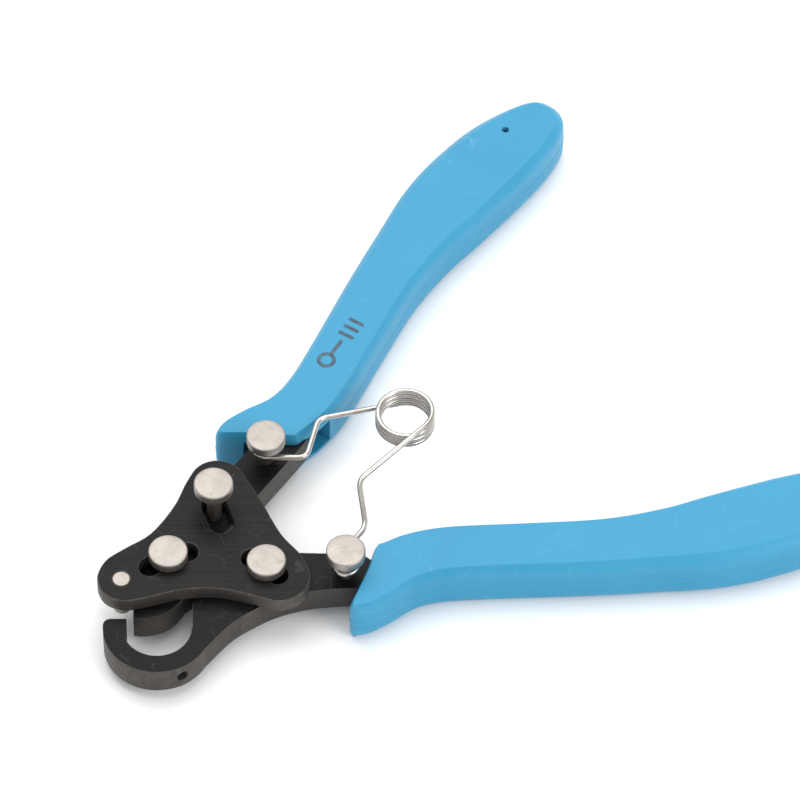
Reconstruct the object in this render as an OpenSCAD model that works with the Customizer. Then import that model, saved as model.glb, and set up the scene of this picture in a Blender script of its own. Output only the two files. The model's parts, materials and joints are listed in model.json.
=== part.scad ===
// One-step wire looping pliers, lying open on a table.
// Plan places are written from the main pivot; z = 0 is the table under the grips.

/* [Steel] */
// Thickness of both arms
arm_t = 5.8; // [5:0.1:7]
// Width of both arms between the head and the grips
arm_w = 7.6; // [6.4:0.1:7.8]
// Thickness of the head plate
plate_t = 3.1; // [2.4:0.1:4]
// Radius of the two pivot bosses that overlap each other
boss_r = 5.9; // [5.4:0.1:6]
// Inside radius of the hooked jaw
hook_r = 6.3; // [6:0.1:6.8]
// Width of metal round the hooked jaw
hook_wall = 3.6; // [3:0.1:4.4]
// Diameter of the wire hole in the hooked jaw
feed_d = 1.4; // [1:0.1:1.8]

/* [Studs and pin] */
// Diameter of the five stud heads
head_d = 7.2; // [6:0.1:8.6]
// Height of the stud heads
head_t = 2; // [1.4:0.1:2.6]
// Shank diameter of the main pivot and the lower guide stud
shank_d = 3.4; // [2.6:0.1:3.6]
// Shank diameter of the tall upper guide stud
tall_shank_d = 2.7; // [2:0.1:3.4]
// Shank diameter of the two spring studs
spring_shank_d = 3; // [2.4:0.1:3.6]
// Diameter of the mandrel pin that the wire is looped round
pin_d = 3.2; // [2:0.1:3.6]
// Free height of the tall stud between the head plate and its own head
tall_stud_rise = 5; // [3:0.5:8]
// Free height of the spring studs between an arm and their heads
spring_stud_rise = 5.2; // [4.6:0.1:8]

/* [Grips] */
// Length of each grip
grip_len = 96.5; // [80:0.5:120]
// Thickness of each grip
grip_t = 10.6; // [9.6:0.1:13]
// Rounding of the grip's long edges
grip_round = 1.2; // [0.6:0.1:1.6]
// Length of the steel tang inside each grip
tang_len = 44; // [30:1:60]
// Width of the steel tang inside each grip
tang_w = 5; // [4:0.1:6]
// Diameter of the hanging hole in the upper grip
hang_d = 1.4; // [1:0.1:2.5]

/* [Spring] */
// Diameter of the spring wire
wire_d = 1.05; // [0.8:0.05:1.2]
// Radius of the coil at the middle of the wire
coil_r = 5; // [4:0.1:6]
// Whole turns of the coil besides the part turn between its legs
coil_turns = 3; // [2:1:4]

/* [Clearances] */
// Gap between pieces that slide face to face
slide_gap = 0.1; // [0.05:0.01:0.15]
// Radial running clearance of the main pivot and the spring hooks
run_gap = 0.06; // [0.02:0.01:0.1]
// Gap to walls that moving steel sweeps past
sweep_gap = 0.4; // [0.3:0.05:0.5]
// Gap left round the tang inside its grip
grip_fit = 0.05; // [0.02:0.01:0.1]

/* [Movement] */
// Angle that the handles close from fully open
close_deg = 24; // [16:1:24]
// Turn of the head plate for each degree of the handles
plate_ratio = 0.28; // [0.2:0.01:0.3]

/* [Hidden] */
$fn = 64;

// Heights
arm_z = (grip_t - arm_t) / 2;
arm_top = arm_z + arm_t;
lap_low = arm_z + (arm_t - slide_gap) / 2;
lap_high = lap_low + slide_gap;
plate_z = arm_top + slide_gap;
plate_top = plate_z + plate_t;
rivet_h = 0.4;
over = 1;

// Plan places of the pivots and studs
pivot = [0, 0];
mandrel = [-8.5, -4.8];
upper_guide = [8.2, 11.7];
lower_guide = [17.9, -2];
upper_spring = [17.6, 24.8];
lower_spring = [32.4, -1.2];
plate_turn = [7.1, -15.1];
hook_mid = [-1.85, -13.4];
coil_mid = [43.2, 30.2];

// Grip frames: front point and direction, each grip mirrored to the other
upper_grip_at = [16.5, 28.5];
upper_grip_deg = 58;
lower_grip_at = [36, -2.4];
lower_grip_deg = 9.5;
grip_fixed_len = 24;
grip_drawn_len = 96;
grip_tip = 0.5;
tang_mid = -1.5;
mouth_len = 11;
hang_back = 10.6;
hang_side = -0.6;

// Closed Catmull-Rom curve through points, with steps places a span
function span(a, b, c, d, t) = 0.5 * ((2 * b) + (c - a) * t
    + (2 * a - 5 * b + 4 * c - d) * t * t + (3 * b - a - 3 * c + d) * t * t * t);
function loop_curve(p, steps) = [for (i = [0:len(p) - 1], s = [0:steps - 1])
    span(p[(i + len(p) - 1) % len(p)], p[i], p[(i + 1) % len(p)], p[(i + 2) % len(p)], s / steps)];
// The same curve, open, from the second point to the last but one
function open_curve(p, steps) = concat([for (i = [1:len(p) - 3], s = [0:steps - 1])
    span(p[i - 1], p[i], p[i + 1], p[i + 2], s / steps)], [p[len(p) - 2]]);

function unit(v) = v / norm(v);
function turn(v, a) = [v.x * cos(a) - v.y * sin(a), v.x * sin(a) + v.y * cos(a)];
function polar(centre, r, a) = centre + r * [cos(a), sin(a)];
function heading(from, to) = atan2(to.y - from.y, to.x - from.x);
// Outward side of a closed outline at one of its points
function side_at(p, i) = let (t = unit(p[(i + 1) % len(p)] - p[(i + len(p) - 1) % len(p)])) [t.y, -t.x];
function inset(p, d) = [for (i = [0:len(p) - 1]) p[i] - d * side_at(p, i)];

// Outline of the head plate: three lobes with hollow sides
plate_outline = loop_curve([[-12.9, -4.6], [-11.6, -8.2], [-8.3, -9.8], [-4.5, -9.3], [2.2, -7.4],
    [8.7, -7], [15, -8.4], [20.6, -9.9], [24.9, -7.6], [25.9, -3.8], [24.2, 0.6], [20.6, 5.2],
    [16.9, 12.6], [14.4, 17.3], [12.2, 20.6], [8.6, 22], [5.2, 20.7], [3, 17], [0.8, 11.5],
    [-3.3, 5.4], [-8.2, 1.9], [-11.5, -0.8]], 5);

// Outline of a grip in its own frame, x along it and y towards its outer side
grip_drawn = [[-2.3, 3.4], [0.6, -1.6], [2.6, -5.6], [4.4, -6.5], [9, -7.9], [17, -8.3], [32, -6.7],
    [45, -5.5], [56, -6], [66, -7.7], [80, -9.7], [88.6, -9.9], [93.8, -8.5], [96, -4.8],
    [94.4, 0], [84.5, 5.3], [74, 7.8], [64, 8.5], [53, 7.5], [40, 6.1], [24, 4], [15, 3.1],
    [9, 3.7], [3.8, 6.2], [-0.6, 7.8], [-3.4, 7.7], [-4, 6.4]];
function stretch(x) = x <= grip_fixed_len ? x
    : grip_fixed_len + (x - grip_fixed_len) * (grip_len - grip_tip - grip_fixed_len)
        / (grip_drawn_len - grip_fixed_len);
grip_outline = loop_curve([for (p = grip_drawn) [stretch(p.x), p.y]], 3);
function upper_place(p) = upper_grip_at + turn(p, upper_grip_deg);
function lower_place(p) = lower_grip_at + turn([p.x, -p.y], lower_grip_deg);

// Middle of the whole tool, which is put at the origin
box_low = [min([for (p = plate_outline) p.x]), hook_mid.y - hook_r - hook_wall];
box_high = [max([for (p = grip_outline) lower_place(p).x]), max([for (p = grip_outline) upper_place(p).y])];
box_mid = (box_low + box_high) / 2;

module place() translate([-box_mid.x, -box_mid.y, 0]) children();
module bar(a, b, w) {
    translate(a) rotate(heading(a, b)) translate([0, -w / 2]) square([norm(b - a), w]);
    translate(b) circle(d = w);
}
module hole(at, d, low, high) translate([at.x, at.y, low]) cylinder(d = d, h = high - low);
module upper_frame() translate(upper_grip_at) rotate(upper_grip_deg) children();
module lower_frame() translate(lower_grip_at) rotate(lower_grip_deg) children();
module tang(middle, gap) translate([0, middle - tang_w / 2 - gap]) square([tang_len + gap, tang_w + 2 * gap]);

// --- Lower arm: hooked jaw, lower half of the pivot, and the lower tang ---
arm_rise = 0.8;
lower_arm_end = [34, -arm_rise];
hook_rim = hook_r + hook_wall;
web_edge = open_curve([polar(hook_mid, hook_rim, -100), polar(hook_mid, hook_rim, -75),
    polar(hook_mid, hook_rim, -52), [7.6, -17.2], [11.5, -12.6], [15.2, -9.8], [19.8, -7.2],
    [26, -5.3], lower_arm_end - [0, arm_w / 2], lower_arm_end - [-8, arm_w / 2]], 4);
feed_deg = -61.5;
finger_right = 4.3;
tip_face = -7.5;
tip_top = -11.5;
tip_round = 1.4;
tip_left = hook_mid.x - hook_rim;

// End of the hooked jaw, with its outer corner rounded
module jaw_tip() hull() {
    translate([tip_left + tip_round, tip_top - tip_round]) circle(r = tip_round);
    translate([tip_left, hook_mid.y]) square([tip_face - tip_left, tip_top - tip_round - hook_mid.y]);
    translate([tip_face - tip_round, tip_top - tip_round]) square(tip_round);
}

module lower_arm_outline() {
    difference() {
        union() {
            translate(hook_mid) circle(r = hook_rim);
            polygon(concat(web_edge, [lower_arm_end + [0, arm_w / 2], [boss_r, arm_w / 2],
                [2, 0], hook_mid]));
        }
        intersection() {
            translate(hook_mid) circle(r = hook_r);
            translate([tip_face, -40]) square(40);
        }
        translate([tip_face, hook_mid.y]) square([finger_right + 0.3 - tip_face, 40]);
        translate([-40 + tip_face + 0.01, tip_top - tip_round]) square(40);
    }
    jaw_tip();
    bar(pivot, lower_arm_end, arm_w);
    circle(r = boss_r);
    lower_frame() tang(-tang_mid, 0);
}
// Space swept by the upper arm, above the lower half of the lap
upper_heading = heading(pivot, upper_spring);
lower_heading = heading(pivot, lower_arm_end);
closed_heading = upper_heading - close_deg;
lap_r = arm_w / 2 / sin((closed_heading - lower_heading) / 2) + 0.6;
module lap_pocket() {
    circle(r = boss_r + sweep_gap);
    intersection() {
        circle(r = lap_r + sweep_gap);
        rotate(closed_heading) translate([-40, -arm_w / 2 - sweep_gap]) square([80, 80]);
    }
}
module feed_hole() translate([hook_mid.x, hook_mid.y, arm_z + arm_t / 2]) rotate([0, 90, feed_deg]) {
    cylinder(d = feed_d, h = hook_r + hook_wall + over);
    translate([0, 0, hook_r + hook_wall - feed_d / 2]) cylinder(d1 = feed_d, d2 = feed_d * 2.2, h = feed_d);
}
module lower_arm() color("#3f3c3a") place() difference() {
    translate([0, 0, arm_z]) linear_extrude(arm_t) lower_arm_outline();
    translate([0, 0, lap_low]) linear_extrude(arm_t) lap_pocket();
    hole(pivot, shank_d, 0, arm_top + over);
    hole(lower_guide, shank_d, 0, arm_top + over);
    hole(lower_spring, spring_shank_d, 0, arm_top + over);
    feed_hole();
}

// --- Upper arm: bending finger, upper half of the pivot, and the upper tang ---
finger_left = -6.3;
finger_mid = [-4.6, -3.4];
finger_r = 8;
upper_arm_end = upper_place([4, -3.2]);
// Place of the mandrel pin in the upper arm's frame when the handles have closed by a
function mandrel_seen(a) = turn(plate_turn + turn(mandrel - plate_turn, -plate_ratio * a), a);
module finger() difference() {
    polygon(concat([[finger_left + 0.8, -1], [finger_left, -3]],
        [for (a = [-102:8:-22]) polar(finger_mid, finger_r, a)],
        [[finger_right, -5.2], [finger_right, -1]]));
    for (a = [0:close_deg / 6:close_deg]) translate(mandrel_seen(a)) circle(d = pin_d + 2 * sweep_gap);
}
module upper_arm_outline() {
    difference() {
        union() {
            circle(r = boss_r);
            finger();
        }
        for (a = [0:close_deg / 6:close_deg]) translate(mandrel_seen(a)) circle(d = pin_d + sweep_gap / 2);
    }
    bar(pivot, upper_guide, arm_w);
    bar(upper_guide, upper_arm_end, arm_w);
    upper_frame() tang(tang_mid, 0);
}
// Space swept by the lower arm, under the upper half of the lap
module lower_lap_cut() {
    circle(r = boss_r + sweep_gap);
    intersection() {
        circle(r = lap_r + sweep_gap);
        rotate(lower_heading + close_deg) translate([-40, arm_w / 2 + sweep_gap - 80]) square(80);
        union() {
            translate([finger_right, -40]) square(80);
            translate([-40, 0]) square(80);
        }
    }
}
module upper_arm() color("#3f3c3a") place() difference() {
    translate([0, 0, arm_z]) linear_extrude(arm_t) upper_arm_outline();
    translate([0, 0, arm_z - over]) linear_extrude(lap_high - arm_z + over) lower_lap_cut();
    hole(pivot, shank_d + 2 * run_gap, 0, arm_top + over);
    hole(upper_guide, tall_shank_d, 0, arm_top + over);
    hole(upper_spring, spring_shank_d, 0, arm_top + over);
}

// --- Head plate with the mandrel pin ---
slot_gap = 0.35;
slot_w = shank_d + 2 * slot_gap;
tall_slot_gap = 1.05;
tall_slot_w = tall_shank_d + 2 * tall_slot_gap;
// How far each round slot runs past its stud at rest, and past the plate's own turn
pivot_slot_back = 12.5;
pivot_slot_on = 7;
guide_slot_back = 9.5;
guide_slot_on = 4;
// Slot on a circle round the plate's turning point, from a stud's place at rest
module round_slot(at, before, after) {
    r = norm(at - plate_turn);
    a = heading(plate_turn, at);
    cap = slot_w / 2;
    polygon(concat([for (t = [0:10]) polar(plate_turn, r + cap, a - before + (before + after) * t / 10)],
        [for (t = [15:15:165]) polar(polar(plate_turn, r, a + after), cap, a + after + t)],
        [for (t = [0:10]) polar(plate_turn, r - cap, a + after - (before + after) * t / 10)],
        [for (t = [195:15:345]) polar(polar(plate_turn, r, a - before), cap, a - before + t)]));
}
// Place of the tall stud in the plate's frame when the handles have closed by a
function tall_seen(a) = plate_turn + turn(turn(upper_guide, -a) - plate_turn, plate_ratio * a);
module tall_slot() {
    low_end = tall_seen(close_deg);
    a = heading(upper_guide, low_end);
    polygon(concat([for (t = [90:15:270]) polar(upper_guide, tall_slot_w / 2, a + t)],
        [for (t = [-90:15:90]) polar(low_end, tall_slot_w / 2, a + t)]));
}
module head_plate() color("#474442") place() difference() {
    translate([0, 0, plate_z]) linear_extrude(plate_t) difference() {
        polygon(plate_outline);
        round_slot(pivot, pivot_slot_back, plate_ratio * close_deg + pivot_slot_on);
        round_slot(lower_guide, guide_slot_back, plate_ratio * close_deg + guide_slot_on);
        tall_slot();
    }
    hole(mandrel, pin_d, 0, plate_top + over);
}
module mandrel_pin() color("#cfc8bd") place() hole(mandrel, pin_d, arm_z, plate_top);

// --- Studs: riveted below, with a flat chamfered head above ---
head_edge = 0.3;
module stud(at, d, low, head_low) color("#cfc8bd") place() translate([at.x, at.y, 0]) {
    rotate_extrude() polygon([[0, low - rivet_h], [d / 2 + 0.3, low - rivet_h], [d / 2 + 0.5, low],
        [d / 2, low], [d / 2, head_low], [head_d / 2 - 0.15, head_low], [head_d / 2, head_low + 0.15],
        [head_d / 2, head_low + head_t - head_edge], [head_d / 2 - head_edge, head_low + head_t],
        [0, head_low + head_t]]);
}
guide_head_z = plate_top + slide_gap;
spring_head_z = arm_top + spring_stud_rise;
module main_pivot_stud() stud(pivot, shank_d, arm_z, guide_head_z);
module lower_guide_stud() stud(lower_guide, shank_d, arm_z, guide_head_z);
module upper_guide_stud() stud(upper_guide, tall_shank_d, arm_z, plate_top + tall_stud_rise);
module upper_spring_stud() stud(upper_spring, spring_shank_d, arm_z, spring_head_z);
module lower_spring_stud() stud(lower_spring, spring_shank_d, arm_z, spring_head_z);

// --- Torsion spring, in two halves that meet in the middle of the coil ---
wire_sides = 10;
coil_gap = 0.2;
coil_pitch = wire_d + coil_gap;
hook_bend_r = spring_shank_d / 2 + run_gap + wire_d / 2;
upper_leg_z = max(grip_t, arm_top + 1) + wire_d / 2 + 0.15;
lower_hook_z = upper_leg_z - 0.6;
// Headings of the wire's two ends round their studs
upper_hook_deg = 15;
lower_end_deg = 345;
upper_bend = [27.2, 31.6];
upper_knee = [25, upper_spring.y - hook_bend_r];
lower_bend = [34.7, 15.2];
lower_knee = [36, 7.4];
// Angle on a circle where a line from a point outside touches it
function touch(centre, r, from, sign) = heading(centre, from) + sign * acos(r / norm(from - centre));
upper_touch = touch(coil_mid, coil_r, upper_bend, -1);
lower_touch = touch(coil_mid, coil_r, lower_bend, 1);
coil_deg = upper_touch - lower_touch + 360 * coil_turns;
coil_top_z = upper_leg_z + coil_pitch * coil_deg / 360;
mid_gap_deg = 1;
helix_steps = 40;
hook_steps = 14;

function lift(p, z) = [p.x, p.y, z];
function helix(a, b, za, zb, steps) = [for (i = [0:steps])
    let (t = i / steps) lift(polar(coil_mid, coil_r, a + (b - a) * t), za + (zb - za) * t)];
function hook(centre, a, b, z, steps) = [for (i = [0:steps])
    lift(polar(centre, hook_bend_r, a + (b - a) * i / steps), z)];
// Rounded corner at b between a and c
function corner(a, b, c, r) = let (p = b + r * unit(a - b), q = b + r * unit(c - b))
    [for (t = [0:0.25:1]) (1 - t) * (1 - t) * p + 2 * t * (1 - t) * b + t * t * q];
bend_r = 1.6;
half_coil = coil_deg / 2 - mid_gap_deg / 2;
half_rise = coil_pitch * half_coil / 360;

upper_path = concat(
    hook(upper_spring, upper_hook_deg, 268, upper_leg_z, hook_steps),
    corner(lift(upper_spring - [0, hook_bend_r], upper_leg_z), lift(upper_knee, upper_leg_z),
        lift(upper_bend, upper_leg_z), bend_r),
    corner(lift(upper_knee, upper_leg_z), lift(upper_bend, upper_leg_z),
        lift(polar(coil_mid, coil_r, upper_touch), upper_leg_z), bend_r),
    helix(upper_touch, upper_touch - half_coil, upper_leg_z, upper_leg_z + half_rise, helix_steps));
lower_hook_deg = touch(lower_spring, hook_bend_r, lower_knee, 1);
lower_path = concat(
    hook(lower_spring, lower_end_deg, lower_hook_deg, lower_hook_z, hook_steps),
    corner(lift(polar(lower_spring, hook_bend_r, lower_hook_deg), lower_hook_z),
        lift(lower_knee, lower_hook_z), lift(lower_bend, coil_top_z - 1.2), bend_r),
    corner(lift(lower_knee, lower_hook_z), lift(lower_bend, coil_top_z - 1.2),
        lift(polar(coil_mid, coil_r, lower_touch), coil_top_z), bend_r),
    helix(lower_touch, lower_touch + half_coil, coil_top_z, coil_top_z - half_rise, helix_steps));

function along(p, i) = unit(p[min(i + 1, len(p) - 1)] - p[max(i - 1, 0)]);
module wire(p) {
    points = [for (i = [0:len(p) - 1], k = [0:wire_sides - 1])
        let (t = along(p, i), u = unit(cross(t, [0, 0, 1])), v = cross(u, t), a = k * 360 / wire_sides)
        p[i] + wire_d / 2 * (cos(a) * u + sin(a) * v)];
    last = (len(p) - 1) * wire_sides;
    faces = concat([[for (k = [0:wire_sides - 1]) k]],
        [[for (k = [0:wire_sides - 1]) last + wire_sides - 1 - k]],
        [for (i = [0:len(p) - 2], k = [0:wire_sides - 1]) let (n = (k + 1) % wire_sides)
            [i * wire_sides + k, (i + 1) * wire_sides + k, (i + 1) * wire_sides + n, i * wire_sides + n]]);
    color("#d8d4cc") place() polyhedron(points, faces);
}
module spring_upper_half() wire(upper_path);
module spring_lower_half() wire(lower_path);

// --- Moulded grips, pushed over the tangs ---
round_steps = 2;
edge_rings = [for (i = [0:round_steps]) let (a = 90 * i / round_steps)
    [grip_round * (1 - sin(a)), grip_round * (1 - cos(a))]];
grip_rings = concat(edge_rings, [for (i = [round_steps:-1:0]) [edge_rings[i][0], grip_t - edge_rings[i][1]]]);
module grip_solid() {
    n = len(grip_outline);
    rings = len(grip_rings);
    points = [for (g = grip_rings, p = inset(grip_outline, g[0])) lift(p, g[1])];
    top = (rings - 1) * n;
    // Flat faces in strips across the grip, from its inner side to its outer side
    strips = [for (k = [0:floor(n / 2) - 1]) [k, k + 1, n - 2 - k, n - 1 - k]];
    faces = concat(strips, [for (s = strips) [top + s[3], top + s[2], top + s[1], top + s[0]]],
        [for (g = [0:rings - 2], k = [0:n - 1]) let (m = (k + 1) % n)
            [g * n + k, (g + 1) * n + k, (g + 1) * n + m, g * n + m]]);
    polyhedron(points, faces);
}
// Mouth for the arm, open along the inner side and the front of the grip
mouth_top = 2.6;
mouth_reach = 20;
mouth_front = 7;
module grip_body() difference() {
    grip_solid();
    translate([0, 0, arm_z - grip_fit]) linear_extrude(arm_t + 2 * grip_fit) {
        translate([-mouth_front, mouth_top - mouth_reach]) square([mouth_len + mouth_front, mouth_reach]);
        tang(tang_mid, grip_fit);
    }
}
hang_at = [stretch(grip_drawn_len - hang_back), hang_side];
module upper_grip() color("#5fb9e6") place() difference() {
    upper_frame() grip_body();
    upper_frame() hole(hang_at, hang_d, -over, grip_t + over);
}
module lower_grip() color("#5fb9e6") place() lower_frame() mirror([0, 1]) grip_body();

lower_arm();
upper_arm();
head_plate();
mandrel_pin();
main_pivot_stud();
upper_guide_stud();
lower_guide_stud();
upper_spring_stud();
lower_spring_stud();
spring_upper_half();
spring_lower_half();
upper_grip();
lower_grip();
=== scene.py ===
import json
import math

import bmesh
import bpy
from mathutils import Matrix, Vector


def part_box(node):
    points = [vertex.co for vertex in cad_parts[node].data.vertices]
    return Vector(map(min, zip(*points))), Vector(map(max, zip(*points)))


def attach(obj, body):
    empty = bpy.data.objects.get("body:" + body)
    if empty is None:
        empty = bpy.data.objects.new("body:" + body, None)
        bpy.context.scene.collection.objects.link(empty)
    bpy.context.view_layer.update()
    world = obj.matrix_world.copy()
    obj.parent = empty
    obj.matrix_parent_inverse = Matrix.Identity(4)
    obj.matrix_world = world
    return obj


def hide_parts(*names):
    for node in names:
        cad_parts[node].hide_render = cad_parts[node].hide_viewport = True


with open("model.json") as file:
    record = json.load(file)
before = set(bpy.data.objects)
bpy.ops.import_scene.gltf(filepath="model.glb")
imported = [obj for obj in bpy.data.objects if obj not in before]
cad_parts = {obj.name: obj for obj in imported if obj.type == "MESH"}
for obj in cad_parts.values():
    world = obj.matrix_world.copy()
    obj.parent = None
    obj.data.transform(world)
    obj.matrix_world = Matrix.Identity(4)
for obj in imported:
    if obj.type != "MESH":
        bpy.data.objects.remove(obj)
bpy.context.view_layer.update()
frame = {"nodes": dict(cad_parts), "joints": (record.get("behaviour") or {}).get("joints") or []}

MM = 0.001
JOINTS = {joint["name"]: joint for joint in frame["joints"]}
PIVOT = Vector(JOINTS["handles_close"]["pos_m"])

# Grips: length axis x, outer side +y, in millimetres from the front of the grip
UPPER_GRIP = dict(at=(16.5, 28.5), turn=58, side=1)
LOWER_GRIP = dict(at=(36, -2.4), turn=9.5, side=-1)
GRIP_OUTLINE = (
    (-2.3, 3.4), (0.6, -1.6), (2.6, -5.6), (4.4, -6.5), (9, -7.9), (17, -8.3), (32, -6.7),
    (45, -5.5), (56, -6), (66, -7.7), (80, -9.7), (88.6, -9.9), (93.8, -8.5), (96, -4.8),
    (94.4, 0), (84.5, 5.3), (74, 7.8), (64, 8.5), (53, 7.5), (40, 6.1), (24, 4), (15, 3.1),
    (9, 3.7), (3.8, 6.2), (-0.6, 7.8), (-3.4, 7.7), (-4, 6.4))
GRIP_THICK = 10.6
# Hanging hole, with its middle in the grip's own axes
HANG_HOLE = (85.4, -0.6)
HANG_HOLE_R = 0.7
# Open mouth that the arm runs into, as two opposite corners in the grip's own axes
MOUTH_START = (-7, -17.4, 2.35)
MOUTH_STOP = (11, 2.6, 8.25)

# Studs
STUD_HEAD_T = 2
PIVOT_SHANK_R = 1.7
GUIDE_SHANK_R = 1.35
SPRING_SHANK_R = 1.5

# Spring
WIRE_R = 0.525
COIL_R = 5
COIL_MID = Vector((43.2, 30.2))
COIL_PITCH = 1.25
COIL_TURNS = 3
HOOK_GAP = 0.06
LEG_CLEARANCE = 0.15
LEG_BEND_R = 1.6
COIL_STEPS = 110
HOOK_STEPS = 30


# ---------------------------------------------------------------- places

def plan(x, y, z):
    """A point given in millimetres from the main pivot, with z from the table."""
    return Vector((PIVOT.x + x * MM, PIVOT.y + y * MM, z * MM))


def node_middle(node):
    """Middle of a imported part's box, in metres."""
    low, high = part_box(node)
    return (low + high) / 2


def polar(middle, radius, degrees):
    """A point on a circle."""
    a = math.radians(degrees)
    return Vector((middle[0] + radius * math.cos(a), middle[1] + radius * math.sin(a)))


def turned(point, degrees):
    """A point turned about the origin."""
    a = math.radians(degrees)
    return Vector((point[0] * math.cos(a) - point[1] * math.sin(a),
                   point[0] * math.sin(a) + point[1] * math.cos(a)))


def between(value, stops):
    """Straight-line value between (position, value) stops."""
    if value <= stops[0][0]:
        return stops[0][1]
    for (x0, y0), (x1, y1) in zip(stops, stops[1:]):
        if value <= x1:
            return y0 + (y1 - y0) * (value - x0) / (x1 - x0)
    return stops[-1][1]


def smooth_loop(points, steps):
    """Closed Catmull-Rom curve through the points."""
    n = len(points)
    curve = []
    for i in range(n):
        a, b, c, d = (Vector(points[(i + k) % n]) for k in (-1, 0, 1, 2))
        for s in range(steps):
            t = s / steps
            curve.append(0.5 * (2 * b + (c - a) * t + (2 * a - 5 * b + 4 * c - d) * t * t
                                + (3 * b - a - 3 * c + d) * t ** 3))
    return curve


# ---------------------------------------------------------------- camera, floor and light

CAMERA_AIM = (42.25, 35.9, 11.3)
CAMERA_ELEVATION = 53.13
CAMERA_DISTANCE = 1.5
VIEW_WIDTH = 148 * MM


def make_camera():
    """A long lens, so that the tool is seen nearly without perspective."""
    data = bpy.data.cameras.new("camera")
    camera = bpy.data.objects.new("camera", data)
    bpy.context.scene.collection.objects.link(camera)
    e = math.radians(CAMERA_ELEVATION)
    back = Vector((0, -math.cos(e), math.sin(e)))
    camera.location = plan(*CAMERA_AIM) + back * CAMERA_DISTANCE
    camera.rotation_mode = "QUATERNION"
    camera.rotation_quaternion = (-back).to_track_quat("-Z", "Y")
    data.sensor_width = 36
    data.lens = data.sensor_width * CAMERA_DISTANCE / VIEW_WIDTH
    data.clip_start = 0.1
    data.clip_end = 10
    bpy.context.scene.camera = camera


def make_floor():
    """A plain sheet of paper, a hair under the tool."""
    mesh = bpy.data.meshes.new("floor")
    shape = bmesh.new()
    bmesh.ops.create_grid(shape, x_segments=8, y_segments=8, size=2)
    shape.to_mesh(mesh)
    shape.free()
    floor = bpy.data.objects.new("floor", mesh)
    bpy.context.scene.collection.objects.link(floor)
    floor.location.z = -0.05 * MM
    mesh.materials.append(floor_paper())


def make_lights():
    """A white room with two round lamps that aim at the middle of the object."""
    world = bpy.data.worlds.new("studio")
    bpy.context.scene.world = world
    world.use_nodes = True
    background = world.node_tree.nodes["Background"]
    background.inputs["Color"].default_value = (1, 1, 1, 1)
    background.inputs["Strength"].default_value = 0.82
    for name, at, size, power in (("key", (-0.15, 0.45, 1.1), 1.3, 9.6),
                                  ("fill", (0.8, -0.6, 0.7), 0.7, 5.0)):
        light = bpy.data.lights.new(name, "AREA")
        light.shape = "DISK"
        light.size = size
        light.energy = power
        lamp = bpy.data.objects.new(name, light)
        bpy.context.scene.collection.objects.link(lamp)
        lamp.location = at
        lamp.rotation_mode = "QUATERNION"
        lamp.rotation_quaternion = (-Vector(at)).to_track_quat("-Z", "Y")
    bpy.context.scene.view_settings.view_transform = "Standard"


# ---------------------------------------------------------------- shared surface effects

def new_group(name, inputs, outputs):
    """An empty shader node group with named number sockets."""
    group = bpy.data.node_groups.new(name, "ShaderNodeTree")
    for label, default in inputs:
        socket = group.interface.new_socket(name=label, in_out="INPUT", socket_type="NodeSocketFloat")
        socket.default_value = default
    for label in outputs:
        group.interface.new_socket(name=label, in_out="OUTPUT", socket_type="NodeSocketFloat")
    start = group.nodes.new("NodeGroupInput")
    end = group.nodes.new("NodeGroupOutput")
    return group, start, end


def math_node(tree, operation, a, b, clamp=False):
    """A math node whose inputs are sockets or plain numbers."""
    node = tree.nodes.new("ShaderNodeMath")
    node.operation = operation
    node.use_clamp = clamp
    for slot, value in zip(node.inputs, (a, b)):
        if isinstance(value, (int, float)):
            slot.default_value = value
        else:
            tree.links.new(value, slot)
    return node.outputs[0]


def edge_wear_and_sheen_group():
    """Mask that is 1 on convex edges, broken up by noise, and 0 on level faces: worn edges on the steel,
    and on the grips partly wear and partly a painted highlight.
    """
    group, start, end = new_group("edge_wear_and_sheen", (("Reach", 0.03), ("Breakup", 400.0)), ("Mask",))
    links = group.links
    geometry = group.nodes.new("ShaderNodeNewGeometry")
    place = group.nodes.new("ShaderNodeTexCoord")
    noise = group.nodes.new("ShaderNodeTexNoise")
    noise.inputs["Detail"].default_value = 4
    links.new(place.outputs["Object"], noise.inputs["Vector"])
    links.new(start.outputs["Breakup"], noise.inputs["Scale"])
    rise = math_node(group, "SUBTRACT", geometry.outputs["Pointiness"], 0.5)
    edge = math_node(group, "DIVIDE", rise, start.outputs["Reach"], clamp=True)
    facing = group.nodes.new("ShaderNodeSeparateXYZ")
    links.new(geometry.outputs["True Normal"], facing.inputs[0])
    upright = math_node(group, "ABSOLUTE", facing.outputs["Z"], 0)
    off_level = math_node(group, "LESS_THAN", upright, 0.999)
    edge = math_node(group, "MULTIPLY", edge, off_level)
    patchy = math_node(group, "MULTIPLY", edge, noise.outputs["Fac"])
    links.new(math_node(group, "MULTIPLY", patchy, 1.7, clamp=True), end.inputs["Mask"])
    return group


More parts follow.
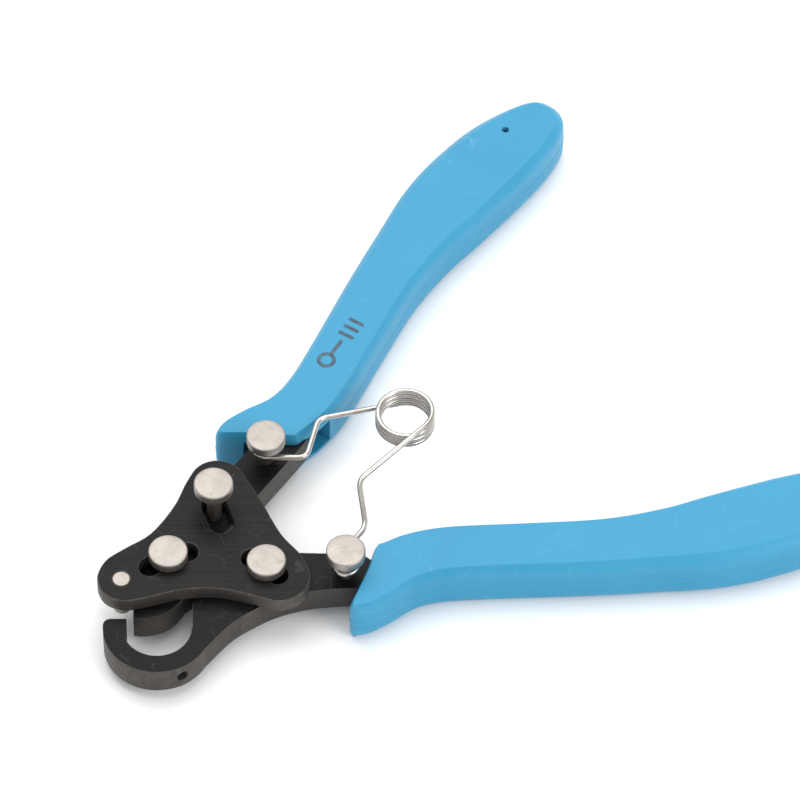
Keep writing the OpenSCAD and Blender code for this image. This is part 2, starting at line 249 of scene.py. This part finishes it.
def brushing_group():
    """Fine parallel lines that run along x, with a soft cloudiness under them."""
    inputs = (("Lines", 9000.0), ("Stretch", 0.02), ("Clouds", 120.0))
    group, start, end = new_group("brushing", inputs, ("Streaks", "Cloud", "Height"))
    links = group.links
    place = group.nodes.new("ShaderNodeTexCoord")
    parts = group.nodes.new("ShaderNodeSeparateXYZ")
    joined = group.nodes.new("ShaderNodeCombineXYZ")
    links.new(place.outputs["Object"], parts.inputs[0])
    along = math_node(group, "MULTIPLY", parts.outputs["X"], start.outputs["Stretch"])
    links.new(along, joined.inputs["X"])
    links.new(parts.outputs["Y"], joined.inputs["Y"])
    links.new(parts.outputs["Z"], joined.inputs["Z"])
    lines = group.nodes.new("ShaderNodeTexNoise")
    lines.inputs["Detail"].default_value = 3
    links.new(joined.outputs[0], lines.inputs["Vector"])
    links.new(start.outputs["Lines"], lines.inputs["Scale"])
    clouds = group.nodes.new("ShaderNodeTexNoise")
    clouds.inputs["Detail"].default_value = 5
    links.new(place.outputs["Object"], clouds.inputs["Vector"])
    links.new(start.outputs["Clouds"], clouds.inputs["Scale"])
    links.new(lines.outputs["Fac"], end.inputs["Streaks"])
    links.new(clouds.outputs["Fac"], end.inputs["Cloud"])
    links.new(lines.outputs["Fac"], end.inputs["Height"])
    return group


def mould_grain_group():
    """Spark-eroded mould texture and slight flow marks of a moulded plastic."""
    group, start, end = new_group("mould_grain", (("Grain", 5200.0), ("Flow", 60.0)), ("Tone", "Height"))
    links = group.links
    place = group.nodes.new("ShaderNodeTexCoord")
    grain = group.nodes.new("ShaderNodeTexNoise")
    grain.inputs["Detail"].default_value = 3
    flow = group.nodes.new("ShaderNodeTexNoise")
    flow.inputs["Detail"].default_value = 4
    flow.inputs["Distortion"].default_value = 0.6
    for node, size in ((grain, "Grain"), (flow, "Flow")):
        links.new(place.outputs["Object"], node.inputs["Vector"])
        links.new(start.outputs[size], node.inputs["Scale"])
    links.new(flow.outputs["Fac"], end.inputs["Tone"])
    links.new(grain.outputs["Fac"], end.inputs["Height"])
    return group


def scratches_group():
    """Sparse fine scratches as a mask."""
    group, start, end = new_group("scratches", (("Scale", 260.0), ("Amount", 0.04)), ("Mask",))
    links = group.links
    place = group.nodes.new("ShaderNodeTexCoord")
    warp = group.nodes.new("ShaderNodeTexNoise")
    warp.inputs["Scale"].default_value = 90
    mix = group.nodes.new("ShaderNodeVectorMath")
    mix.operation = "MULTIPLY_ADD"
    mix.inputs[1].default_value = (0.004, 0.004, 0.004)
    links.new(place.outputs["Object"], warp.inputs["Vector"])
    links.new(warp.outputs["Color"], mix.inputs[0])
    links.new(place.outputs["Object"], mix.inputs[2])
    cells = group.nodes.new("ShaderNodeTexVoronoi")
    cells.feature = "DISTANCE_TO_EDGE"
    links.new(mix.outputs[0], cells.inputs["Vector"])
    links.new(start.outputs["Scale"], cells.inputs["Scale"])
    thin = math_node(group, "LESS_THAN", cells.outputs["Distance"], start.outputs["Amount"])
    break_up = group.nodes.new("ShaderNodeTexNoise")
    break_up.inputs["Scale"].default_value = 330
    links.new(place.outputs["Object"], break_up.inputs["Vector"])
    some = math_node(group, "GREATER_THAN", break_up.outputs["Fac"], 0.56)
    links.new(math_node(group, "MULTIPLY", thin, some), end.inputs["Mask"])
    return group


EDGE_WEAR_AND_SHEEN = edge_wear_and_sheen_group()
BRUSHING = brushing_group()
MOULD_GRAIN = mould_grain_group()
SCRATCHES = scratches_group()


# ---------------------------------------------------------------- materials

def new_material(name, metallic, roughness):
    """A material with its Principled shader and an empty tree round it."""
    material = bpy.data.materials.new(name)
    material.use_nodes = True
    shader = material.node_tree.nodes["Principled BSDF"]
    shader.inputs["Metallic"].default_value = metallic
    shader.inputs["Roughness"].default_value = roughness
    return material, material.node_tree, shader


def place_group(tree, group, **values):
    """Puts a shader group in a material with its own values, and gives its outputs."""
    node = tree.nodes.new("ShaderNodeGroup")
    node.node_tree = group
    for label, value in values.items():
        node.inputs[label].default_value = value
    return node.outputs


def colour_mix(tree, factor, a, b):
    """Mix of two colours, each a socket or a linear (r, g, b)."""
    node = tree.nodes.new("ShaderNodeMix")
    node.data_type = "RGBA"
    colour_inputs = [s for s in node.inputs if s.type == "RGBA"]
    for slot, value in zip(colour_inputs, (a, b)):
        if isinstance(value, tuple):
            slot.default_value = (*value, 1)
        else:
            tree.links.new(value, slot)
    tree.links.new(factor, node.inputs[0])
    return next(s for s in node.outputs if s.type == "RGBA")


def ramp(tree, value, low, high):
    """The value's range low..high spread to 0..1."""
    node = tree.nodes.new("ShaderNodeMapRange")
    node.inputs["From Min"].default_value = low
    node.inputs["From Max"].default_value = high
    tree.links.new(value, node.inputs["Value"])
    return node.outputs[0]


def add_bump(tree, shader, height, strength, distance):
    """Bump from a height socket into the shader's normal."""
    bump = tree.nodes.new("ShaderNodeBump")
    bump.inputs["Strength"].default_value = strength
    bump.inputs["Distance"].default_value = distance
    tree.links.new(height, bump.inputs["Height"])
    tree.links.new(bump.outputs["Normal"], shader.inputs["Normal"])


def floor_paper():
    """White paper with a very faint grain."""
    material, tree, shader = new_material("floor_paper", 0, 0.9)
    grain = place_group(tree, MOULD_GRAIN, Grain=900.0, Flow=4.0)
    tree.links.new(colour_mix(tree, grain["Tone"], (0.965, 0.965, 0.965), (0.985, 0.985, 0.98)),
                   shader.inputs["Base Color"])
    add_bump(tree, shader, grain["Height"], 0.05, 0.0002)
    return material


def black_steel(name, dark, light, worn, roughness):
    """Black oxide over brushed steel, rubbed through a little on the edges."""
    material, tree, shader = new_material(name, 0, roughness)
    shader.inputs["Specular IOR Level"].default_value = 0.14
    brushed = place_group(tree, BRUSHING, Lines=2400.0, Stretch=0.02, Clouds=90.0)
    cloud = ramp(tree, brushed["Cloud"], 0.3, 0.7)
    streak = ramp(tree, brushed["Streaks"], 0.35, 0.75)
    tone = math_node(tree, "MULTIPLY_ADD", streak, 0.85)
    tree.links.new(math_node(tree, "MULTIPLY", cloud, 0.15), tone.node.inputs[2])
    base = colour_mix(tree, tone, dark, light)
    rubbed = place_group(tree, EDGE_WEAR_AND_SHEEN, Reach=0.05, Breakup=900.0)["Mask"]
    base = colour_mix(tree, math_node(tree, "MULTIPLY", rubbed, 0.75), base, worn)
    scratch = place_group(tree, SCRATCHES, Scale=170.0, Amount=0.012)["Mask"]
    base = colour_mix(tree, math_node(tree, "MULTIPLY", scratch, 0.25), base, worn)
    tree.links.new(base, shader.inputs["Base Color"])
    tree.links.new(math_node(tree, "MULTIPLY", rubbed, 0.8), shader.inputs["Metallic"])
    spread = math_node(tree, "MULTIPLY_ADD", streak, 0.12)
    spread.node.inputs[2].default_value = roughness - 0.06
    tree.links.new(spread, shader.inputs["Roughness"])
    add_bump(tree, shader, brushed["Height"], 0.28, 0.00004)
    return material


def satin_steel():
    """Turned and tumbled steel of the stud heads, nearly matt."""
    material, tree, shader = new_material("satin_steel", 0.9, 0.42)
    brushed = place_group(tree, BRUSHING, Lines=7000.0, Stretch=0.25, Clouds=420.0)
    cloud = ramp(tree, brushed["Cloud"], 0.3, 0.7)
    base = colour_mix(tree, cloud, (0.30, 0.275, 0.25), (0.38, 0.35, 0.32))
    scratch = place_group(tree, SCRATCHES, Scale=420.0, Amount=0.02)["Mask"]
    base = colour_mix(tree, math_node(tree, "MULTIPLY", scratch, 0.5), base, (0.22, 0.20, 0.18))
    tree.links.new(base, shader.inputs["Base Color"])
    spread = math_node(tree, "MULTIPLY_ADD", brushed["Streaks"], 0.2)
    spread.node.inputs[2].default_value = 0.32
    tree.links.new(spread, shader.inputs["Roughness"])
    add_bump(tree, shader, brushed["Height"], 0.25, 0.00004)
    return material


def spring_wire():
    """Bright drawn spring wire with faint draw marks."""
    material, tree, shader = new_material("spring_wire", 1, 0.24)
    brushed = place_group(tree, BRUSHING, Lines=2600.0, Stretch=0.5, Clouds=300.0)
    cloud = ramp(tree, brushed["Cloud"], 0.32, 0.68)
    tree.links.new(colour_mix(tree, cloud, (0.40, 0.375, 0.345), (0.58, 0.555, 0.52)),
                   shader.inputs["Base Color"])
    spread = math_node(tree, "MULTIPLY_ADD", brushed["Streaks"], 0.18)
    spread.node.inputs[2].default_value = 0.16
    tree.links.new(spread, shader.inputs["Roughness"])
    add_bump(tree, shader, brushed["Height"], 0.15, 0.00003)
    return material


def grip_plastic():
    """Pale blue moulded plastic with a fine satin mould grain, and lighter edges that are partly wear and
    partly a painted highlight.
    """
    material, tree, shader = new_material("grip_plastic", 0, 0.4)
    shader.inputs["Specular IOR Level"].default_value = 0.32
    grain = place_group(tree, MOULD_GRAIN, Grain=4200.0, Flow=55.0)
    tone = ramp(tree, grain["Tone"], 0.3, 0.7)
    base = colour_mix(tree, tone, (0.027, 0.262, 0.450), (0.035, 0.290, 0.485))
    # Lighter blue on the bevelled edges: partly wear, partly a painted highlight where the rims catch the
    # light
    rubbed = place_group(tree, EDGE_WEAR_AND_SHEEN, Reach=0.06, Breakup=240.0)["Mask"]
    base = colour_mix(tree, math_node(tree, "MULTIPLY", rubbed, 0.4), base, (0.16, 0.46, 0.68))
    scratch = place_group(tree, SCRATCHES, Scale=110.0, Amount=0.006)["Mask"]
    base = colour_mix(tree, math_node(tree, "MULTIPLY", scratch, 0.2), base, (0.22, 0.50, 0.70))
    tree.links.new(base, shader.inputs["Base Color"])
    spread = math_node(tree, "MULTIPLY_ADD", tone, 0.08)
    spread.node.inputs[2].default_value = 0.36
    tree.links.new(spread, shader.inputs["Roughness"])
    add_bump(tree, shader, grain["Height"], 0.22, 0.00008)
    return material


def mark_ink():
    """Dark pad print, slightly thin in places."""
    material, tree, shader = new_material("mark_ink", 0, 0.5)
    grain = place_group(tree, MOULD_GRAIN, Grain=2600.0, Flow=900.0)
    tree.links.new(colour_mix(tree, ramp(tree, grain["Tone"], 0.35, 0.65), (0.018, 0.045, 0.075),
                              (0.045, 0.11, 0.17)), shader.inputs["Base Color"])
    add_bump(tree, shader, grain["Height"], 0.1, 0.00003)
    return material


OXIDE_FACE = black_steel("oxide_face", (0.0015, 0.0013, 0.0012), (0.009, 0.008, 0.0075),
                         (0.07, 0.065, 0.06), 0.44)
OXIDE_PLATE = black_steel("oxide_plate", (0.003, 0.0026, 0.0024), (0.018, 0.016, 0.015),
                          (0.09, 0.083, 0.076), 0.42)
# Lighter oxide for the upright walls: painted light standing in for the light the walls catch from the
# white table
OXIDE_WALL_PAINTED_LIGHT = black_steel("oxide_wall_painted_light", (0.022, 0.020, 0.019), (0.046, 0.042, 0.040),
                         (0.12, 0.11, 0.10), 0.5)
STUD_STEEL = satin_steel()
WIRE_STEEL = spring_wire()
GRIP_BLUE = grip_plastic()
MARK_INK = mark_ink()


# ---------------------------------------------------------------- making pieces

# Upward part of a face's normal: over the first it is level, under the second it is an upright wall,
# which gets the lighter oxide as painted light
LEVEL_FACE = 0.9995
PAINTED_LIGHT_WALL_Z = 0.3
# Angles between faces, in degrees: under the first they are one flat face, over the second a sharp edge
FLAT_ANGLE = 0.8
SHARP_ANGLE = 50


def finished(name, shape, body, materials, replaces=None, crease=35):
    """Turns a bmesh in metres into a shaded piece that rides on a body."""
    mesh = bpy.data.meshes.new(name)
    bmesh.ops.recalc_face_normals(shape, faces=shape.faces)
    shape.to_mesh(mesh)
    shape.free()
    for material in materials:
        mesh.materials.append(material)
    piece = bpy.data.objects.new(name, mesh)
    bpy.context.scene.collection.objects.link(piece)
    mesh.shade_smooth()
    mesh.set_sharp_from_angle(angle=math.radians(crease))
    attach(piece, body)
    if replaces:
        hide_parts(replaces)
    return piece


def crisp_flats(piece):
    """Keeps level faces flat in the shading, with a clear line where they meet a bevel."""
    shape = bmesh.new()
    shape.from_mesh(piece.data)
    for edge in shape.edges:
        level = [abs(f.normal.z) > LEVEL_FACE for f in edge.link_faces]
        if any(level) and not all(level):
            edge.smooth = False
    shape.to_mesh(piece.data)
    shape.free()


def applied(piece, modifier):
    """Applies one modifier to the piece's own mesh."""
    graph = bpy.context.evaluated_depsgraph_get()
    mesh = bpy.data.meshes.new_from_object(piece.evaluated_get(graph))
    piece.modifiers.remove(modifier)
    old = piece.data
    piece.data = mesh
    mesh.name = old.name
    bpy.data.meshes.remove(old)


def cut_plate(node, body, face, bevel):
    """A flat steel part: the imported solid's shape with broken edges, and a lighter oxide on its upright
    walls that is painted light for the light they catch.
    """
    shape = bmesh.new()
    shape.from_mesh(frame["nodes"][node].data)
    bmesh.ops.remove_doubles(shape, verts=shape.verts, dist=1e-7)
    bmesh.ops.dissolve_limit(shape, angle_limit=math.radians(FLAT_ANGLE), verts=shape.verts,
                             edges=shape.edges)
    sharp = [e for e in shape.edges
             if len(e.link_faces) == 2 and e.calc_face_angle() > math.radians(SHARP_ANGLE)]
    bmesh.ops.bevel(shape, geom=sharp, offset=bevel, segments=2, profile=0.6, affect="EDGES",
                    clamp_overlap=True)
    shape.normal_update()
    # Upright walls get the lighter oxide: painted light on the walls
    for f in shape.faces:
        f.material_index = 1 if abs(f.normal.z) < PAINTED_LIGHT_WALL_Z else 0
    crisp_flats(finished(node + "_piece", shape, body, (face, OXIDE_WALL_PAINTED_LIGHT), node))


def turned_part(name, profile, centre, body, node, sides=72):
    """A turned part: (radius, height) profile in millimetres spun round an upright axis."""
    shape = bmesh.new()
    rings = []
    for radius, height in profile:
        if radius == 0:
            rings.append([shape.verts.new((centre.x, centre.y, height * MM))])
            continue
        rings.append([shape.verts.new((centre.x + radius * MM * math.cos(2 * math.pi * k / sides),
                                       centre.y + radius * MM * math.sin(2 * math.pi * k / sides),
                                       height * MM)) for k in range(sides)])
    for low, high in zip(rings, rings[1:]):
        for k in range(sides):
            n = (k + 1) % sides
            if len(low) == 1:
                shape.faces.new((low[0], high[n], high[k]))
            elif len(high) == 1:
                shape.faces.new((low[k], low[n], high[0]))
            else:
                shape.faces.new((low[k], low[n], high[n], high[k]))
    return finished(name, shape, body, (STUD_STEEL,), node, crease=40)


def rounded_edge(radius, height, round_r, upper):
    """Points of a rounded rim, from the middle outwards on a lower edge and back on an upper one."""
    points = []
    steps = 4
    for i in range(steps + 1):
        a = math.radians(90 * i / steps)
        if not upper:
            points.append((radius - round_r * (1 - math.sin(a)), height + round_r * (1 - math.cos(a))))
        else:
            points.append((radius - round_r * (1 - math.cos(a)), height - round_r * (1 - math.sin(a))))
    return points


def stud(node, body, shank_r):
    """Headed stud with a peened lower end and a softly broken, very slightly domed head."""
    low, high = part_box(node)
    low_z, high_z = low.z / MM, high.z / MM
    head_r = (high.x - low.x) / 2 / MM
    head_low = high_z - STUD_HEAD_T
    profile = [(0, low_z), (shank_r * 0.7, low_z)]
    profile += [(shank_r + 0.2, low_z + 0.06), (shank_r + 0.45, low_z + 0.28), (shank_r, low_z + 0.42)]
    profile += [(shank_r, head_low - 0.25), (shank_r + 0.15, head_low)]
    profile += rounded_edge(head_r, head_low, 0.15, upper=False)
    profile += rounded_edge(head_r, high_z - 0.04, 0.28, upper=True)
    profile += [(head_r * 0.7, high_z - 0.01), (head_r * 0.3, high_z), (0, high_z)]
    turned_part(node + "_piece", profile, node_middle(node), body, node)


def mandrel():
    """The flush pin that the wire is bent round."""
    low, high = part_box("mandrel_pin")
    radius = (high.x - low.x) / 2 / MM
    low_z, high_z = low.z / MM, high.z / MM
    profile = [(0, low_z)] + rounded_edge(radius, low_z, 0.3, upper=False)
    profile += rounded_edge(radius, high_z, 0.12, upper=True) + [(0, high_z)]
    turned_part("mandrel_pin_piece", profile, node_middle("mandrel_pin"), "head", "mandrel_pin")


# ---------------------------------------------------------------- torsion spring

def touch_angle(middle, radius, outside, sign):
    """Angle on a circle where a line from a point outside touches it."""
    away = Vector(outside) - Vector(middle)
    return math.degrees(math.atan2(away.y, away.x)) + sign * math.degrees(math.acos(radius / away.length))


def corner(a, b, c):
    """Rounded corner of the wire at b, between a and c."""
    p = b + (a - b).normalized() * LEG_BEND_R
    q = b + (c - b).normalized() * LEG_BEND_R
    steps = 8
    return [(1 - t) ** 2 * p + 2 * t * (1 - t) * b + t * t * q
            for t in (i / steps for i in range(steps + 1))]


def arc_points(middle, radius, start, stop, z_start, z_stop, steps):
    """Arc from one angle to another that also climbs from one height to another."""
    points = []
    for i in range(steps + 1):
        t = i / steps
        place = polar(middle, radius, start + (stop - start) * t)
        points.append(Vector((place.x, place.y, z_start + (z_stop - z_start) * t)))
    return points


def at_height(point, z):
    return Vector((point[0], point[1], z))


def wire_piece(name, path, body, node):
    """A round wire along a path in millimetres, with its ends closed."""
    curve = bpy.data.curves.new(name, "CURVE")
    curve.dimensions = "3D"
    curve.bevel_depth = WIRE_R * MM
    curve.bevel_resolution = 6
    curve.use_fill_caps = True
    spline = curve.splines.new("POLY")
    spline.points.add(len(path) - 1)
    for slot, point in zip(spline.points, path):
        slot.co = (*plan(*point), 1)
    spline.use_smooth = True
    curve.materials.append(WIRE_STEEL)
    piece = bpy.data.objects.new(name, curve)
    bpy.context.scene.collection.objects.link(piece)
    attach(piece, body)
    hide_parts(node)


def spring():
    """Both halves of the spring: a hook on a stud, a cranked leg, and half of the coil."""
    upper_stud = ((node_middle("upper_spring_stud") - PIVOT) / MM).to_2d()
    lower_stud = ((node_middle("lower_spring_stud") - PIVOT) / MM).to_2d()
    hook_r = SPRING_SHANK_R + HOOK_GAP + WIRE_R
    upper_z = GRIP_THICK + LEG_CLEARANCE + WIRE_R
    lower_z = upper_z - 0.6
    upper_bend, upper_knee = (27.2, 31.6), (25, upper_stud.y - hook_r)
    lower_bend, lower_knee = (34.7, 15.2), (36, 7.4)
    upper_touch = touch_angle(COIL_MID, COIL_R, upper_bend, -1)
    lower_touch = touch_angle(COIL_MID, COIL_R, lower_bend, 1)
    coil_turn = upper_touch - lower_touch + 360 * COIL_TURNS
    top_z = upper_z + COIL_PITCH * coil_turn / 360
    half_gap = 0.3
    half = coil_turn / 2 - half_gap
    rise = COIL_PITCH * half / 360

    upper = arc_points(upper_stud, hook_r, 15, 268, upper_z, upper_z, HOOK_STEPS)
    front = Vector((upper_stud.x, upper_stud.y - hook_r, upper_z))
    knee, bend = at_height(upper_knee, upper_z), at_height(upper_bend, upper_z)
    upper += corner(front, knee, bend)
    upper += corner(knee, bend, at_height(polar(COIL_MID, COIL_R, upper_touch), upper_z))
    upper += arc_points(COIL_MID, COIL_R, upper_touch, upper_touch - half, upper_z, upper_z + rise,
                        COIL_STEPS)
    wire_piece("spring_upper_piece", upper, "spring_upper", "spring_upper_half")

    lower_hook = touch_angle(lower_stud, hook_r, lower_knee, 1)
    lower = arc_points(lower_stud, hook_r, 345, lower_hook, lower_z, lower_z, HOOK_STEPS)
    knee, bend = at_height(lower_knee, lower_z), at_height(lower_bend, top_z - 1.2)
    lower += corner(at_height(polar(lower_stud, hook_r, lower_hook), lower_z), knee, bend)
    lower += corner(knee, bend, at_height(polar(COIL_MID, COIL_R, lower_touch), top_z))
    lower += arc_points(COIL_MID, COIL_R, lower_touch, lower_touch + half, top_z, top_z - rise,
                        COIL_STEPS)
    wire_piece("spring_lower_piece", lower, "spring_lower", "spring_lower_half")


# ---------------------------------------------------------------- grips

# How far the flat face stays in from the edge, along the grip, on its two sides
OUTER_BEVEL = ((-4, 0.6), (0, 0.8), (7, 1.2), (26, 1.3), (46, 1.6), (66, 2.3), (80, 2.3), (92, 1.6))
INNER_BEVEL = ((2, 0.6), (6, 1.0), (20, 1.2), (45, 1.3), (66, 1.5), (85, 1.7), (94, 1.4))
# Extra rounding under the finger guard
NOSE_UNDERCUT = ((-4, 1.1), (6, 1.1), (16, 0))
# Bevel width across the two ends, and where along the grip the second takes over
FRONT_BEVEL, END_BEVEL = 0.7, 1.8
END_BEVEL_FROM = 30
# A bevel takes at most this share of the radius of the outline's bend
BEVEL_SHARE = 0.7
BEVEL_SMOOTHING = 8
# How many outline points each way a bend is measured over
BEND_SPAN = 5
# (height from the middle, share of the bevel used) from the side wall up to the flat face
GRIP_PROFILE = ((0, 0.0), (0.3, 0.0), (0.56, 0.02), (0.66, 0.07), (0.74, 0.19), (0.84, 0.44),
                (0.93, 0.73), (0.97, 0.87), (0.992, 0.955), (1.0, 1.0))
# The parting ridge's step out, and the two heights of its sides
PARTING_RIDGE = 0.07
RIDGE_TOP, RIDGE_FOOT = 0.02, 0.035


def grip_side(outline, i):
    """Unit vector out of the outline at one of its points."""
    n = len(outline)
    along = (outline[(i + 1) % n] - outline[(i - 1) % n]).normalized()
    return Vector((along.y, -along.x))


def bevel_widths(outline, sides):
    """How far the flat face stays in at each point of the outline, without sudden steps."""
    widths = []
    for point, out in zip(outline, sides):
        outer = max(0, out.y) ** 2
        inner = max(0, -out.y) ** 2
        end = out.x ** 2
        end_width = FRONT_BEVEL if point.x < END_BEVEL_FROM else END_BEVEL
        widths.append(outer * between(point.x, OUTER_BEVEL) + inner * between(point.x, INNER_BEVEL)
                      + end * end_width)
    n = len(widths)
    widths = [min(w, BEVEL_SHARE * bend_radius(outline, i)) for i, w in enumerate(widths)]
    for _ in range(BEVEL_SMOOTHING):
        widths = [(widths[i - 1] + widths[i] * 2 + widths[(i + 1) % n]) / 4 for i in range(n)]
    return widths


def bend_radius(outline, i):
    """Radius of the outline's outward bend at a point, large where it is straight or hollow."""
    n = len(outline)
    a, b, c = outline[(i - BEND_SPAN) % n], outline[i], outline[(i + BEND_SPAN) % n]
    area = (b - a).cross(c - b) / 2
    nearly_straight = 0.001
    if area <= nearly_straight:
        return 100
    return (b - a).length * (c - b).length * (c - a).length / (4 * area)


def grip_point(grip, x, y, z):
    """A point given in a grip's own axes, in millimetres, with z from the table."""
    p = turned((x, y * grip["side"]), grip["turn"])
    return plan(grip["at"][0] + p.x, grip["at"][1] + p.y, z)


def box_cutter(grip, low, high):
    """A box in a grip's own axes, between two opposite corners."""
    shape = bmesh.new()
    corners = [grip_point(grip, x, y, z) for z in (low[2], high[2])
               for x, y in ((low[0], low[1]), (high[0], low[1]), (high[0], high[1]), (low[0], high[1]))]
    verts = [shape.verts.new(c) for c in corners]
    for face in ((0, 1, 2, 3), (4, 5, 6, 7), (0, 1, 5, 4), (1, 2, 6, 5), (2, 3, 7, 6), (3, 0, 4, 7)):
        shape.faces.new([verts[i] for i in face])
    return shape


def round_cutter(grip, x, y, radius):
    """An upright round rod that passes right through a grip."""
    shape = bmesh.new()
    sides = 36
    circle = [polar((x, y), radius, 10 * k) for k in range(sides)]
    rings = []
    for z in (-1, GRIP_THICK + 1):
        rings.append([shape.verts.new(grip_point(grip, *place, z)) for place in circle])
    shape.faces.new(rings[0])
    shape.faces.new(rings[1])
    for k in range(sides):
        n = (k + 1) % sides
        shape.faces.new((rings[0][k], rings[0][n], rings[1][n], rings[1][k]))
    return shape


def cut_away(piece, shape):
    """Cuts the bmesh out of the piece."""
    bmesh.ops.recalc_face_normals(shape, faces=shape.faces)
    mesh = bpy.data.meshes.new("cutter")
    shape.to_mesh(mesh)
    shape.free()
    cutter = bpy.data.objects.new("cutter", mesh)
    bpy.context.scene.collection.objects.link(cutter)
    boolean = piece.modifiers.new("cut", "BOOLEAN")
    boolean.operation = "DIFFERENCE"
    boolean.solver = "EXACT"
    boolean.object = cutter
    bpy.context.view_layer.update()
    applied(piece, boolean)
    bpy.data.objects.remove(cutter)


def grip_shell(grip):
    """The grip's outer form: flat faces, wide soft bevels and a faint parting ridge."""
    outline = smooth_loop(GRIP_OUTLINE, 7)
    n = len(outline)
    sides = [grip_side(outline, i) for i in range(n)]
    widths = bevel_widths(outline, sides)
    half = GRIP_THICK / 2
    levels = [(-h, f) for h, f in reversed(GRIP_PROFILE[1:])]
    levels += [(-RIDGE_FOOT, 0), (-RIDGE_TOP, None), (RIDGE_TOP, None), (RIDGE_FOOT, 0)]
    levels += list(GRIP_PROFILE[1:])
    shape = bmesh.new()
    rings = []
    for height, share in levels:
        ring = []
        for point, out, width in zip(outline, sides, widths):
            if height < 0 and out.y > 0:
                width += between(point.x, NOSE_UNDERCUT) * out.y
            step = PARTING_RIDGE if share is None else -share * width
            place = point + out * step
            ring.append(shape.verts.new(grip_point(grip, place.x, place.y, half + half * height)))
        rings.append(ring)
    for low, high in zip(rings, rings[1:]):
        for k in range(n):
            m = (k + 1) % n
            shape.faces.new((low[k], low[m], high[m], high[k]))
    shape.faces.new(rings[0])
    shape.faces.new(rings[-1])
    return shape


def moulded_grip(name, grip, body, node):
    """A grip with its open mouth, and the hanging hole where it has one."""
    crease = 32
    piece = finished(name, grip_shell(grip), body, (GRIP_BLUE,), node, crease)
    cut_away(piece, box_cutter(grip, MOUTH_START, MOUTH_STOP))
    if grip is UPPER_GRIP:
        cut_away(piece, round_cutter(grip, *HANG_HOLE, HANG_HOLE_R))
    piece.data.set_sharp_from_angle(angle=math.radians(crease))
    crisp_flats(piece)


def size_mark():
    """A plain printed loop sign in the place of a size marking."""
    shape = bmesh.new()
    top = GRIP_THICK + 0.015
    low = GRIP_THICK - 0.05

    def slab(points_out, points_in):
        """A raised frame between two outlines."""
        count = len(points_out)
        corners = ((points_out, low), (points_out, top), (points_in, top), (points_in, low))
        rows = [[shape.verts.new(grip_point(UPPER_GRIP, p.x, p.y, z)) for p in points]
                for points, z in corners]
        for a, b in zip(rows, rows[1:] + rows[:1]):
            for k in range(count):
                shape.faces.new((a[k], a[(k + 1) % count], b[(k + 1) % count], b[k]))

    ring_mid = (21, -1.1)
    slab(*([polar(ring_mid, radius, 7.5 * k) for k in range(48)] for radius in (1.8, 1.05)))
    tail = (22.75, 26.4, -1.5, -0.75)
    bars = [(x, x + 0.75, -2.7, 0.5) for x in (27.5, 29.3, 31.1)]
    for x0, x1, y0, y1 in (tail, *bars):
        outer = [Vector(p) for p in ((x0, y0), (x1, y0), (x1, y1), (x0, y1))]
        middle = Vector(((x0 + x1) / 2, (y0 + y1) / 2))
        slab(outer, [middle + (p - middle) * 0.02 for p in outer])
    finished("size_mark", shape, "upper_handle", (MARK_INK,))


# ---------------------------------------------------------------- the tool

make_camera()
make_floor()
make_lights()

cut_plate("lower_arm", "lower_handle", OXIDE_FACE, bevel=0.00022)
cut_plate("upper_arm", "upper_handle", OXIDE_FACE, bevel=0.00022)
cut_plate("head_plate", "head", OXIDE_PLATE, bevel=0.00025)
mandrel()
stud("main_pivot_stud", "lower_handle", PIVOT_SHANK_R)
stud("lower_guide_stud", "lower_handle", PIVOT_SHANK_R)
stud("upper_guide_stud", "upper_handle", GUIDE_SHANK_R)
stud("upper_spring_stud", "upper_handle", SPRING_SHANK_R)
stud("lower_spring_stud", "lower_handle", SPRING_SHANK_R)
spring()
moulded_grip("upper_grip_piece", UPPER_GRIP, "upper_handle", "upper_grip")
moulded_grip("lower_grip_piece", LOWER_GRIP, "lower_handle", "lower_grip")
size_mark()
